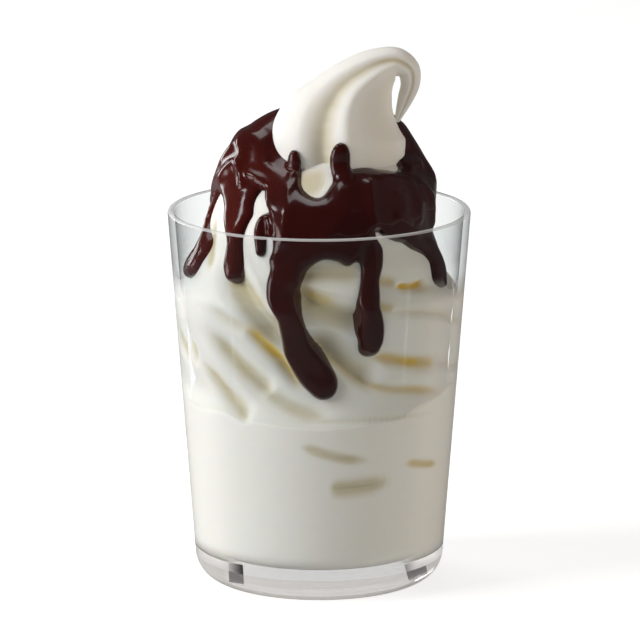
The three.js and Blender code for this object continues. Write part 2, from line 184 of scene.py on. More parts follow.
# Runs of fudge: angle, height, half width at each stop
RUNS = (
    ((-66, 119, 4), (-60, 114, 4.9), (-54, 109.2, 4.9), (-49.5, 104.6, 3.5), (-47.5, 101.9, 2.7),
     (-45.5, 98.9, 2.7), (-43.5, 95, 3.4), (-42, 92.6, 3.2)),
    ((-14, 104, 5.4), (-13, 96, 5.1), (-15.5, 90, 4.9), (-15.4, 86.5, 4.9), (-14, 82, 4),
     (-12.6, 77, 4.6), (-9.5, 72, 5.2), (-4.5, 67.6, 5.8), (0.5, 63.6, 5)),
    ((30, 104, 3.6), (29.5, 97, 3.3), (27.5, 92, 2.9), (25.6, 88, 3.1), (23.4, 84, 3.6),
     (23.4, 79.5, 4.3), (24.6, 75.5, 3.8), (24.4, 73.4, 3.5)),
    ((66, 107, 4.6), (70, 101, 4.6), (75, 96, 4.6), (76, 92.4, 4.4), (71, 88.6, 3.2)),
    ((104, 106, 4), (108, 98, 3.2), (110, 92, 3.6)),
    ((148, 107, 5), (151, 98, 4), (153, 91, 3.8)),
    ((-166, 106, 4.6), (-163, 98, 3.6), (-162, 93, 3.8)),
    ((-118, 106, 4.4), (-116, 97, 3.4), (-113, 91, 3.8)),
)
# Bare places in the coat, drawn the same way, and the runs that cross them
BARE = (
    ((-73, 109.6, 0.9), (-72, 106.4, 3), (-69, 102, 5.4), (-64, 96, 7)),
    ((-48.6, 121, 0.7), (-45, 117.6, 1.9), (-39.6, 113.4, 2.7), (-34.5, 109, 2.8),
     (-31, 104.6, 3), (-29.5, 99.6, 3.6)),
    ((30.5, 106.4, 0.3), (34.5, 103, 1), (42, 99.6, 1.8)),
)
LATE_RUNS = (
    ((-68, 122.5, 1.6), (-76, 119, 1.5), (-83, 113.6, 1.4), (-87, 108.2, 1.1), (-86, 103.8, 1),
     (-78, 100, 1.6), (-73.4, 96.4, 3.6), (-74, 93.4, 4.6), (-77, 91.4, 4)),
    ((-26, 105, 1.4), (-31, 110.4, 1.2), (-36, 112.8, 1.3), (-36, 109.6, 1.5), (-33, 105, 1.8),
     (-30.6, 101.6, 1.7), (-29, 99.2, 1.5)),
)
# Streams that stand proud of the coat: amount, spread above, spread below, stops
STREAMS = (
    (1.5, 0.7, 5.0, ((-96, 124), (-88, 125.6), (-80, 127), (-72, 127.6), (-62, 127))),
    (1.3, 1.8, 1.2, ((-84, 124), (-76, 123.6), (-70, 122), (-62, 120.4))),
    (1.1, 1.2, 2.0, ((-72, 122.8), (-78, 119.4), (-83, 114))),
    (1.0, 1.4, 1.4, ((-88, 121), (-93, 116), (-96, 110))),
    (1.2, 1.3, 1.3, ((-62, 123.4), (-54, 124), (-46, 122.4), (-39, 118.4), (-33, 113.6), (-29, 108))),
    (1.0, 2.2, 2.2, ((-28, 124), (-24, 117), (-21, 110), (-18, 103))),
    (0.5, 2.6, 2.6, ((6, 124), (7, 115), (4, 106))),
    (0.9, 1.2, 1.2, ((24, 126), (23, 118), (26, 112), (28, 106))),
    (0.7, 2.2, 2.2, ((44, 122), (42, 114), (48, 107), (56, 102))),
    (0.9, 1.6, 1.6, ((60, 124), (57, 116), (58, 108))),
    (1.4, 2.4, 2.4, ((70, 127), (80, 127.6), (90, 126))),
    (1.0, 2.0, 2.0, ((72, 122), (74, 113), (76, 104))),
    (0.9, 3.0, 3.0, ((100, 124), (102, 114), (103, 106))),
    (0.9, 3.0, 3.0, ((130, 124), (140, 114), (146, 106))),
    (0.9, 3.0, 3.0, ((-150, 124), (-160, 114), (-165, 107))),
    (0.8, 3.0, 3.0, ((-122, 123), (-121, 114), (-118, 106))),
)
FINGERS = (
    {"foot": (-33, 118), "shoulder": (-38, 126), "angle": -44, "reach": 0.133, "half": 2.3},
    {"foot": (9, 119), "shoulder": (6, 126.5), "angle": -3, "reach": 0.165, "half": 2.9},
)
FUDGE_THICK = 2.6
FUDGE_ROUND = 4.2  # how far in from its edge the fudge reaches that thickness
FUDGE_DEEP = 1.0  # how far it sinks into the cream
FUDGE_FILLET = 3.0  # where a run leaves the coat
FINE_FILLET = 1.0  # where a thin run or the coat's edge meets it
FUDGE_GRAIN = 0.5  # size of the cells that its skin is rebuilt from

# How strongly the glass bends light, and between which heights, in metres, the
# free wall above the cream stops bending it
WALL_BEND = 1.42
BASE_BEND = 1.38
FREE_WALL = (0.082, 0.092)


# ------------------------------------------------------------ nodes as sums


class Graph:
    """Adds nodes to one node tree, and reads their outputs as values."""

    def __init__(self, tree):
        self.tree = tree

    def add(self, kind, settings=None, inputs=None):
        node = self.tree.nodes.new(kind)
        for name, value in (settings or {}).items():
            setattr(node, name, value)
        for name, value in (inputs or {}).items():
            if isinstance(value, Value):
                self.tree.links.new(value.socket, node.inputs[name])
            else:
                node.inputs[name].default_value = value
        return node

    def value(self, kind, settings=None, inputs=None, output=0):
        return Value(self, self.add(kind, settings, inputs).outputs[output])


class Value:
    """A socket that can be added, multiplied and so on with others."""

    def __init__(self, graph, socket):
        self.graph = graph
        self.socket = socket

    def math(self, operation, *others, flip=False):
        terms = (*others, self) if flip else (self, *others)
        return self.graph.value("ShaderNodeMath", {"operation": operation}, dict(enumerate(terms)))

    def __add__(self, other):
        return self.math("ADD", other)

    __radd__ = __add__

    def __sub__(self, other):
        return self.math("SUBTRACT", other)

    def __rsub__(self, other):
        return self.math("SUBTRACT", other, flip=True)

    def __mul__(self, other):
        return self.math("MULTIPLY", other)

    __rmul__ = __mul__

    def __truediv__(self, other):
        return self.math("DIVIDE", other)

    def __neg__(self):
        return self.math("MULTIPLY", -1.0)

    def __pow__(self, other):
        return self.math("POWER", other)


def sine(v):
    return v.math("SINE") if isinstance(v, Value) else np.sin(v)


def cosine(v):
    return v.math("COSINE") if isinstance(v, Value) else np.cos(v)


def magnitude(v):
    return v.math("ABSOLUTE") if isinstance(v, Value) else np.abs(v)


def level_off(v):
    return v.math("TANH") if isinstance(v, Value) else np.tanh(v)


def ease(v, low, high):
    """0 below low, 1 above high and smooth between."""
    if not isinstance(v, Value):
        t = np.clip((v - low) / (high - low), 0, 1)
        return t * t * (3 - 2 * t)
    inputs = {"Value": v, "From Min": low, "From Max": high}
    return v.graph.value("ShaderNodeMapRange", {"interpolation_type": "SMOOTHSTEP"}, inputs)


# ------------------------------------------------------------------- forms


def through(stations, at, column):
    """A column's value joined smoothly through the stations."""
    h, v = stations[:, 0], stations[:, column]
    slope = np.empty(len(h))
    slope[1:-1] = (v[2:] - v[:-2]) / (h[2:] - h[:-2])
    slope[0] = (v[1] - v[0]) / (h[1] - h[0])
    slope[-1] = (v[-1] - v[-2]) / (h[-1] - h[-2])
    at = np.clip(at, h[0], h[-1])
    i = np.clip(np.searchsorted(h, at) - 1, 0, len(h) - 2)
    span = h[i + 1] - h[i]
    t = (at - h[i]) / span
    start = (2 * t - 3) * t * t + 1
    bend = ((t - 2) * t + 1) * t * span * slope[i]
    lift = (t - 1) * t * t * span * slope[i + 1]
    return start * v[i] + (1 - start) * v[i + 1] + bend + lift


def round_axis(pairs, angle):
    """A value round the axis, joined smoothly through [angle, value] pairs."""
    p = np.array(pairs, float)
    ring = np.concatenate([p[-2:] - (360, 0), p, p[:2] + (360, 0)])
    return through(ring, (angle + 180) % 360 - 180, 1)


def inner_radius(height):
    return FOOT_RADIUS - WALL / math.cos(LEAN) + math.tan(LEAN) * height


def fillet_centre(wall_radius, level, radius):
    return wall_radius - (radius - (level + radius) * math.sin(LEAN)) / math.cos(LEAN)


def room_radius(height):
    """How far out the cream can go: just into the glass."""
    centre = fillet_centre(inner_radius(0), BASE, FLOOR_FILLET)
    up = np.clip(BASE + FLOOR_FILLET - height, 0, FLOOR_FILLET)
    filleted = centre + np.sqrt(np.maximum(FLOOR_FILLET**2 - up**2, 0))
    return np.where(up > 0, filleted, inner_radius(height)) + INTO_WALL


def fold_fall(angle, height, size):
    """How far a fold's side falls below its crest. Works on arrays and on node values."""
    turn = angle * (math.pi / 180)
    plunge = size["Plunge"] * level_off((angle - size["Plunge angle"]) / size["Plunge width"])
    groove = size["Height"] - size["Drop per degree"] * angle - plunge
    phase = (height - groove) / (size["Pitch"] - size["Pitch swing"] * sine(turn))
    covered = ease(height, size["Top"] - size["Fade"], size["Top"])
    swing = size["Depth swing"] * sine(size["Depth turns"] * phase)
    bare = size["Depth"] + swing - size["Depth left"] * sine(turn)
    depth = size["Covered depth"] + (bare - size["Covered depth"]) * (1 - covered)
    grown = ease(height, size["Foot"], size["Foot"] + size["Fade"])
    return grown * depth * (1 - magnitude(sine(math.pi * phase)))


def nearest_on(route, angle, height):
    """How far each place is from a route on the cream, how far above it, and its strength there."""
    steps = np.linspace(0, 1, 8 * len(route))
    strength = ease(steps, 0, 0.3) * (1 - ease(steps, 0.7, 1))
    away = np.full(np.broadcast(angle, height).shape, 1e3)
    rise, strong = np.zeros_like(away), np.zeros_like(away)
    for (a, h), share in zip(spline(route, steps), strength):
        across = ((angle - a + 180) % 360 - 180) * MM_PER_DEGREE
        d = np.hypot(across, height - h)
        closer = d < away
        away[closer] = d[closer]
        rise[closer] = (height - h)[closer]
        strong[closer] = share
    return away, rise, strong


def creases(angle, height):
    """What the creases of the front take off the cream, and the khaki and amber shade painted into them.
    """
    fall = np.zeros(np.broadcast(angle, height).shape)
    painted_crease_shade, amber_shade = np.zeros_like(fall), np.zeros_like(fall)
    # dull is how strong each crease's painted khaki shade is; the next weight is its painted amber shade
    for depth, above, below, dull, amber_shade_weight, route in CREASES:
        away, rise, strong = nearest_on(route, angle, height)
        near = strong * np.clip(1 - away / np.where(rise > 0, above, below), 0, 1) ** 1.2
        fall = np.maximum(fall, depth * near)
        # Painted shade: the khaki share that darkens each crease
        painted_crease_shade = np.maximum(painted_crease_shade, dull * ease(near, 0, 0.95))
        # Painted shade: an amber glow along the deepest line of some creases
        amber_shade = np.maximum(amber_shade, amber_shade_weight * strong * np.exp(-((away / (0.45 * below)) ** 2)))
    return fall, painted_crease_shade, amber_shade


def folded(angle):
    """Share of the coil's own folds that is kept: less across the front."""
    side = ease(np.abs((angle + 180) % 360 - 180), FRONT["from"], FRONT["to"])
    return FRONT["kept"] + (1 - FRONT["kept"]) * side


def cream_fall(angle, height):
    """How far the cream falls below the plain mound."""
    return folded(angle) * fold_fall(angle, height, FOLDS) + creases(angle, height)[0]


def hollow(angle, height):
    """The wide dip in the front, where the longest run of fudge hangs."""
    across = (angle - HOLLOW["angle"]) / HOLLOW["wide"]
    up = (height - HOLLOW["height"]) / HOLLOW["tall"]
    return HOLLOW["depth"] * np.exp(-(across**2) - up**2)


def step_lift(angle, height):
    climb = np.tanh(-STEP["sharp"] * np.cos(np.radians(angle - STEP["front"])))
    return (STEP["rise"] * climb - STEP["drop"]) * ease(height, STEP["from"], STEP["to"])


def crest_radius(angle, height):
    return through(MOUND, height, 1) - hollow(angle, height)


def room_limit(height):
    return np.where(height < OPEN_FROM, room_radius(height), 1e3)


def mound_point(angle, height, proud=0.0, fall=0.0):
    """Points on the cream, or proud of it."""
    turn = np.radians(angle)
    crest = crest_radius(angle, height) - fall
    x = crest * np.sin(turn) + through(MOUND, height, 2)
    y = -crest * np.cos(turn)
    length = np.hypot(x, y)
    scale = (np.minimum(length, room_limit(height)) + proud) / length
    return np.stack([x * scale, y * scale, height + step_lift(angle, height)], -1)


def spline(stops, t):
    """A smooth route through the stops, at shares t of its length."""
    p = np.array(stops, float)
    p = np.concatenate([2 * p[:1] - p[1:2], p, 2 * p[-1:] - p[-2:-1]])
    at = np.clip(np.asarray(t, float), 0, 1) * (len(p) - 3)
    i = np.clip(at.astype(int), 0, len(p) - 4)
    u = (at - i)[..., None]
    a, b, c, d = p[i], p[i + 1], p[i + 2], p[i + 3]
    return b + 0.5 * u * (c - a + u * (2 * a - 5 * b + 4 * c - d + u * (3 * (b - c) + d - a)))


def mesh_object(name, points, faces, attributes=None):
    """A mesh of points in millimetres, with its attributes."""
    mesh = bpy.data.meshes.new(name)
    mesh.from_pydata((np.asarray(points) * MM).tolist(), [], faces)
    for key, values in (attributes or {}).items():
        attribute = mesh.attributes.new(key, "FLOAT", "POINT")
        attribute.data.foreach_set("value", np.asarray(values, np.float32))
    mesh.polygons.foreach_set("use_smooth", [True] * len(mesh.polygons))
    mesh.update()
    thing = bpy.data.objects.new(name, mesh)
    bpy.context.scene.collection.objects.link(thing)
    return thing


def rings(rows, around):
    """Faces of a tube of rows of points, closed by a point below and one above."""
    faces = []
    for row in range(0, (rows - 1) * around, around):
        for i in range(around):
            k = (i + 1) % around
            faces.append((row + i, row + k, row + around + k, row + around + i))
    below, above = rows * around, rows * around + 1
    last = (rows - 1) * around
    for i in range(around):
        k = (i + 1) % around
        faces.append((below, k, i))
        faces.append((above, last + i, last + k))
    return faces


def finished(thing):
    """The same object with its modifiers worked into a plain mesh."""
    evaluated = thing.evaluated_get(bpy.context.evaluated_depsgraph_get())
    mesh = bpy.data.meshes.new_from_object(evaluated)
    thing.modifiers.clear()
    thing.data = mesh
    return thing


def node_modifier(thing, tree, sizes):
    """Puts a tree of geometry nodes on an object, with its sizes."""
    modifier = thing.modifiers.new(tree.name, "NODES")
    modifier.node_group = tree
    for item in tree.interface.items_tree:
        if item.item_type == "SOCKET" and item.in_out == "INPUT" and item.name in sizes:
            modifier[item.identifier] = sizes[item.name]


def geometry_tree(name, sizes):
    """An empty tree of geometry nodes with a named input for each size."""
    tree = bpy.data.node_groups.new(name, "GeometryNodeTree")
    tree.interface.new_socket("Geometry", in_out="INPUT", socket_type="NodeSocketGeometry")
    for key in sizes:
        tree.interface.new_socket(key, in_out="INPUT", socket_type="NodeSocketFloat")
    tree.interface.new_socket("Geometry", in_out="OUTPUT", socket_type="NodeSocketGeometry")
    graph = Graph(tree)
    given = graph.add("NodeGroupInput")
    return graph, {socket.name: Value(graph, socket) for socket in given.outputs if socket.name}


def close_tree(graph, shape, material):
    """Ends a tree in Realize Instances and Set Material."""
    real = graph.value("GeometryNodeRealizeInstances", None, {"Geometry": shape})
    done = graph.value("GeometryNodeSetMaterial", None, {"Geometry": real, "Material": material})
    graph.add("NodeGroupOutput", None, {"Geometry": done})


# --------------------------------------------------------------- materials


def material(name):
    made = bpy.data.materials.new(name)
    made.use_nodes = True
    made.node_tree.nodes.clear()
    return made, Graph(made.node_tree)


def noise(graph, place, scale, detail=2.0):
    inputs = {"Vector": place, "Scale": scale, "Detail": detail}
    return graph.value("ShaderNodeTexNoise", None, inputs, "Fac")


def colour_mix(graph, share, first, second):
    settings = {"data_type": "RGBA"}
    node = graph.add("ShaderNodeMix", settings, {0: share, 6: first, 7: second})
    return Value(graph, node.outputs[2])


def object_place(graph):
    return graph.value("ShaderNodeTexCoord", None, None, "Object")


def shader_mix(graph, share, first, second):
    return graph.value("ShaderNodeMixShader", None, {0: share, 1: first, 2: second})


def passing(graph):
    """1 for light that goes straight through the glass: lamps, soft light and what gloss mirrors."""
    ray = lambda name: graph.value("ShaderNodeLightPath", None, None, name)
    crossed = (ray("Transmission Depth") - 1).math("ABSOLUTE").math("GREATER_THAN", 0.5)
    soft = ray("Is Shadow Ray").math("MAXIMUM", ray("Is Diffuse Ray"))
    return soft.math("MAXIMUM", ray("Is Glossy Ray") * crossed)


def clear_wall():
    """The straight wall: it widens what touches it low down, and shows the rest unbent."""
    made, g = material("clear glass wall")
    place = object_place(g)
    smear = noise(g, place, 30.0)
    high = ease(g.value("ShaderNodeSeparateXYZ", None, {"Vector": place}, "Z"), *FREE_WALL)
    turned = g.value("ShaderNodeLayerWeight", None, {"Blend": 0.5}, "Facing")
    seen = g.value("ShaderNodeLightPath", None, None, "Is Camera Ray")
    glass = g.value(
        "ShaderNodeBsdfRefraction",
        None,
        {
            "Color": (0.985, 0.985, 0.985, 1),
            "Roughness": 0.004 + 0.006 * smear,
            "IOR": WALL_BEND,
        },
    )
    clear = g.value("ShaderNodeBsdfTransparent", None, {"Color": (0.95, 0.96, 0.96, 1)})
    grey = g.value("ShaderNodeBsdfTransparent", None, {"Color": (0.66, 0.68, 0.68, 1)})
    gloss = g.value("ShaderNodeBsdfGlossy", None, {"Roughness": 0.01 + 0.02 * smear})
    trapped = g.value("ShaderNodeFresnel", None, {"IOR": WALL_BEND}).math("GREATER_THAN", 0.9)
    straight = shader_mix(g, seen * turned ** 3, clear, grey)
    square_on = seen * (1 - ease(turned, 0.25, 0.45))
    unbent = passing(g).math("MAXIMUM", trapped).math("MAXIMUM", high).math("MAXIMUM", square_on)
    through = shader_mix(g, unbent, glass, straight)
    shader = shader_mix(g, seen * (0.012 + 0.6 * turned ** 5), through, gloss)
    g.add("ShaderNodeOutputMaterial", None, {"Surface": shader})
    return made


def lip_painted_bright():
    """The rounded lip: a pale diffuse share paints the bright line of light it gathers, under a soft
    gloss.
    """
    made, g = material("glass lip painted bright")
    smear = noise(g, object_place(g), 30.0)
    clear = g.value("ShaderNodeBsdfTransparent", None, {"Color": (0.92, 0.93, 0.93, 1)})
    lit = g.value(
        "ShaderNodeBsdfPrincipled",
        None,
        {"Base Color": (0.86, 0.86, 0.86, 1), "Roughness": 0.2 + 0.1 * smear},
    )
    # Painted highlight: the pale share shows the lip as a bright line from every side
    shader = shader_mix(g, 0.4 + 0.2 * smear, clear, lit)
    g.add("ShaderNodeOutputMaterial", None, {"Surface": shader})
    return made


def thick_glass():
    """The solid base, which bends and dims what is behind it."""
    made, g = material("thick glass base")
    smear = noise(g, object_place(g), 30.0)
    glass = g.value(
        "ShaderNodeBsdfGlass",
        None,
        {"Color": (0.95, 0.94, 0.93, 1), "Roughness": 0.02 + 0.02 * smear, "IOR": BASE_BEND},
    )
    clear = g.value("ShaderNodeBsdfTransparent", None, {"Color": (0.83, 0.815, 0.8, 1)})
    unbent = passing(g).math("MAXIMUM", 0.72)
    g.add("ShaderNodeOutputMaterial", None, {"Surface": shader_mix(g, unbent, glass, clear)})
    return made


def soft_serve_cream():
    """Satin cream, with khaki shade painted into its creases and amber shade painted along some of them.
    """
    made, g = material("soft serve cream")
    place = object_place(g)
    cloud = noise(g, place, 55.0, 3.0)
    grain = noise(g, place, 1400.0, 2.0)
    crease = g.value("ShaderNodeAttribute", {"attribute_name": "crease"}, None, "Fac")
    amber_shade = g.value("ShaderNodeAttribute", {"attribute_name": "amber_shade"}, None, "Fac")
    drawn = g.value("ShaderNodeVectorMath", {"operation": "MULTIPLY"}, {0: place, 1: (1, 1, 5)})
    # Painted shade: khaki laid into the creases, where shade falls
    painted_crease_shade = ease(crease, 0.0, 1.1) * (0.3 + cloud * 0.5 + 0.5 * noise(g, drawn, 90.0, 2.0))
    colour = colour_mix(g, painted_crease_shade, (0.94, 0.92, 0.87, 1), (0.6, 0.53, 0.34, 1))
    # Painted shade: amber streaks along some creases
    amber_shade_streak = amber_shade * (0.55 + 0.45 * ease(noise(g, place, 160.0, 2.0), 0.35, 0.65))
    colour = colour_mix(g, amber_shade_streak, colour, (0.78, 0.55, 0.12, 1))
    height = grain * 0.5 + noise(g, place, 260.0, 2.0)
    bump = g.value("ShaderNodeBump", None, {"Strength": 0.12, "Distance": 0.0004, "Height": height})
    shader = g.value(
        "ShaderNodeBsdfPrincipled",
        None,
        {
            "Base Color": colour,
            "Roughness": 0.42 + 0.12 * cloud,
            "IOR": 1.36,
            "Subsurface Weight": 0.3,
            "Subsurface Radius": (1.0, 0.8, 0.55),
            "Subsurface Scale": 0.003,
            "Normal": bump,
        },
    )
    g.add("ShaderNodeOutputMaterial", None, {"Surface": shader})
    return made


def glossy_fudge():
    """Wet dark fudge, redder to the left: painted light from the lamps on that side, and partly the
    fudge's own red where it is thinner.
    """
    made, g = material("glossy hot fudge")
    place = object_place(g)
    cloud = noise(g, place, 40.0, 2.0)
    x = g.value("ShaderNodeSeparateXYZ", None, {"Vector": place}, "X")
    # Painted light: redder towards -X, where the lamps fall, standing partly for the red of thinner fudge
    lit_and_thinner = ease(cloud - x * 18.0, 0.55, 1.15)
    colour = colour_mix(g, lit_and_thinner, (0.032, 0.0028, 0.0022, 1), (0.072, 0.006, 0.003, 1))
    ripple = noise(g, place, 120.0, 1.0)
    bump = g.value("ShaderNodeBump", None, {"Strength": 0.25, "Distance": 0.001, "Height": ripple})
    shader = g.value(
        "ShaderNodeBsdfPrincipled",
        None,
        {
            "Base Color": colour,
            "Roughness": 0.13 + 0.1 * cloud,
            "IOR": 1.45,
            "Coat Weight": 0.4,
            "Coat Roughness": 0.05,
            "Normal": bump,
        },
    )
    g.add("ShaderNodeOutputMaterial", None, {"Surface": shader})
    return made


def looked_at(graph):
    """1 for what the camera sees directly or through the glass, 0 for light that bounces."""
    seen = graph.value("ShaderNodeLightPath", None, None, "Is Camera Ray")
    return seen + graph.value("ShaderNodeLightPath", None, None, "Is Transmission Ray")


def pale_floor():
    """A pale floor, lit well past the tumbler, that throws back less light than it shows."""
    made, g = material("pale floor")
    shade = noise(g, object_place(g), 3.0)
    shaders = []
    for tone, strength in ((0.16, 0.05), (0.35, 0.25), (0.55, 0.75)):
        colours = [(tone + step, tone + step, tone + step, 1) for step in (0, 0.02)]
        inputs = {
            "Base Color": colour_mix(g, shade, *colours),
            "Roughness": 0.7,
            "Emission Color": (1, 1, 1, 1),
            "Emission Strength": strength,
        }
        shaders.append(g.value("ShaderNodeBsdfPrincipled", None, inputs))
    mirrored, lighting, shown = shaders
    spread = g.value("ShaderNodeLightPath", None, None, "Is Diffuse Ray")
    thrown = shader_mix(g, spread, mirrored, lighting)
    g.add("ShaderNodeOutputMaterial", None, {"Surface": shader_mix(g, looked_at(g), thrown, shown)})
    return made


def dark_card():
    """A dull dark card, only for the stage."""
    made, g = material("dark card")
    grain = noise(g, object_place(g), 400.0)
    colour = colour_mix(g, grain, (0.008, 0.007, 0.007, 1), (0.03, 0.027, 0.024, 1))
    inputs = {"Base Color": colour, "Roughness": 0.9, "Specular IOR Level": 0.0}
    shader = g.value("ShaderNodeBsdfPrincipled", None, inputs)
    g.add("ShaderNodeOutputMaterial", None, {"Surface": shader})
    return made


# ------------------------------------------------------------------ tumbler


def arc(centre, height, radius, start, end, steps):
    a = np.linspace(start, end, steps + 1)
    return np.stack([centre + radius * np.cos(a), height + radius * np.sin(a)], -1)


def tumbler(wall, base, bright_lip):
    """The glass, turned round one profile: foot, heel, outside, lip, inside, floor."""
    quarter = math.pi / 2
    lip = WALL / 2
    lip_height = GLASS_HEIGHT - lip
    lip_radius = (FOOT_RADIUS + inner_radius(0)) / 2 + math.tan(LEAN) * lip_height
    heel = fillet_centre(FOOT_RADIUS, 0, HEEL_RADIUS)
    floor = fillet_centre(inner_radius(0), BASE, FLOOR_FILLET)
    profile = np.concatenate(
        [
            [(heel * 0.5, 0)],
            arc(heel, HEEL_RADIUS, HEEL_RADIUS, -quarter, -LEAN, 14),
            arc(lip_radius, lip_height, lip, -LEAN, math.pi - LEAN, 14),
            arc(floor, BASE + FLOOR_FILLET, FLOOR_FILLET, -LEAN, -quarter, 10),
            [(floor * 0.5, BASE)],
        ]
    )
    around = 192
    turn = np.radians(np.arange(around) * 360 / around)
    points = np.stack(
        [
            profile[:, :1] * np.sin(turn),
            -profile[:, :1] * np.cos(turn),
            np.broadcast_to(profile[:, 1:], (len(profile), around)),
        ],
        -1,
    ).reshape(-1, 3)
    points = np.concatenate([points, [(0, 0, 0), (0, 0, BASE)]])
    thing = mesh_object("tumbler", points, rings(len(profile), around))
    for made in (wall, base, bright_lip):
        thing.data.materials.append(made)
    for face in thing.data.polygons:
        low = face.center.z < (BASE + 1.5) * MM
        high = face.center.z > (lip_height + 0.45 * lip) * MM
        face.material_index = 1 if low else 2 if high else 0
    return thing


# --------------------------------------------------------------- soft serve


def coil_tree(cream):
    """Presses the folds into the plain mound, and paints more shade into their creases where they fall
    deeper.
    """
    graph, given = geometry_tree("coil folds", FOLDS)
    named = lambda key: graph.value(
        "GeometryNodeInputNamedAttribute", {"data_type": "FLOAT"}, {"Name": key}
    )
    angle, height = named("angle"), named("height")
    turn = angle * (math.pi / 180)
    fall = named("folded") * fold_fall(angle, height, given)
    crest = named("crest") - fall
    x = crest * sine(turn) + named("shift")
    y = -(crest * cosine(turn))
    length = (x * x + y * y).math("SQRT")
    scale = MM * length.math("MINIMUM", named("room")) / length
    position = graph.value("GeometryNodeInputPosition")
    z = graph.value("ShaderNodeSeparateXYZ", None, {"Vector": position}, "Z")
    pressed = graph.value("ShaderNodeCombineXYZ", None, {"X": x * scale, "Y": y * scale, "Z": z})
    shape = graph.value(
        "GeometryNodeSetPosition", None, {"Geometry": given["Geometry"], "Position": pressed}
    )
    # Painted shade: the creases' shade grows with how deep each fold falls
    painted_fold_shade = named("crease") + 0.3 * fall / given["Depth"]
    shape = graph.value(
        "GeometryNodeStoreNamedAttribute",
        {"data_type": "FLOAT", "domain": "POINT"},
        {"Geometry": shape, "Name": "crease", "Value": painted_fold_shade},
    )
    close_tree(graph, shape, cream)
    return graph.tree


def coil(cream):
    """The cream in the glass and the mound above it, as rings closed at both ends."""
    around = 320
    angle = np.arange(around) * 360 / around - 180
    fillet = BASE + FLOOR_FILLET * (1 - np.cos(np.linspace(0, math.pi / 2, 8))) - INTO_WALL
    heights = np.concatenate([fillet, np.linspace(16, 32, 8), np.arange(32.6, COIL_TOP + 0.01, 0.45)])
    a, h = np.meshgrid(angle, heights)
    points = mound_point(a, h).reshape(-1, 3)
    top = through(MOUND, COIL_TOP, 2)
    points = np.concatenate([points, [(0, 0, heights[0]), (top, 0, COIL_TOP + 1)]])
    ends = np.array([0.0, 0.0])
    spread = lambda values: np.concatenate([np.broadcast_to(values, a.shape).ravel(), ends])
    # Painted shade for the creases, khaki and amber, goes to the material as attributes
    pressed, painted_crease_shade, amber_shade = creases(a, h)
    attributes = {
        "angle": spread(a),
        "height": np.concatenate([h.ravel(), [heights[0], COIL_TOP]]),
        "folded": spread(folded(a)),
        "crease": spread(painted_crease_shade),
        "amber_shade": spread(amber_shade),
        "crest": spread(np.minimum(crest_radius(a, h), room_limit(h) + 0.3) - pressed),
        "shift": np.concatenate([through(MOUND, h, 2).ravel(), [0.001, top]]),
        "room": np.concatenate([room_limit(h).ravel(), [0.001, 1e3]]),
    }
    thing = mesh_object("soft_serve_coil", points, rings(len(heights), around), attributes)
    node_modifier(thing, coil_tree(cream), FOLDS)
    return finished(thing)


def tip_lobes(angle, t):
    """The tip's radius round its spine, as a share of the plain radius."""
    turned = angle - through(TIP_TURNS, t, 1)
    return 1 + (round_axis(TIP_SECTION, turned) - 1) * ease(t, 0, 0.1)


def tip_point(angle, t, proud=0.0):
    """Points on the tip, at angles about its spine."""
    angle, t = np.broadcast_arrays(np.asarray(angle, float), np.asarray(t, float))
    centre = spline(TIP[:, :2], t)
    along = spline(TIP[:, :2], t + 0.002) - spline(TIP[:, :2], t - 0.002)
    along /= np.linalg.norm(along, axis=-1, keepdims=True)
    left = np.exp(-(((angle - FLARE["angle"]) / FLARE["wide"]) ** 2))
    flared = FLARE["reach"] * left * (1 - ease(t, FLARE["from"], FLARE["to"]))
    radius = spline(TIP[:, 2:], t)[..., 0] * tip_lobes(angle, t) + flared + proud
    turn = np.radians(angle)
    side = radius * np.sin(turn)
    depth = radius * (1 - (1 - RIBBON["flat"]) * ease(t, RIBBON["from"], RIBBON["to"]))
    x = centre[..., 0] + side * along[..., 1]
    z = centre[..., 1] - side * along[..., 0]
    return np.stack([x, -depth * np.cos(turn), z], -1)


def tip(cream):
    """The fluted tip, from inside the mound to the curl's thin end."""
    around, rows = 200, 190
    angle = np.arange(around) * 360 / around - 180
    t = np.linspace(0, 1, rows)
    a, s = np.meshgrid(angle, t)
    points = tip_point(a, s).reshape(-1, 3)
    # Painted shade: the tip's grooves take the same khaki shade as the creases
    crease = np.clip((1 - tip_lobes(a, s)) / 0.16, 0, 1).ravel()
    (x0, z0), (x1, z1) = TIP[0, :2], TIP[-1, :2]
    points = np.concatenate([points, [(x0, 0, z0), (x1, 0, z1 - 0.5)]])
    ends = [0, 0]
    attributes = {"crease": np.concatenate([crease, ends]), "amber_shade": np.zeros(len(points))}
    thing = mesh_object("soft_serve_tip", points, rings(rows, around), attributes)
    thing.data.materials.append(cream)
    return thing


# ---------------------------------------------------------------- hot fudge


def smooth_max(a, b, reach):
    """The larger of two, rounded over where they are near each other."""
    near = np.maximum(reach - np.abs(a - b), 0) / reach
    return np.maximum(a, b) + near * near * reach / 4


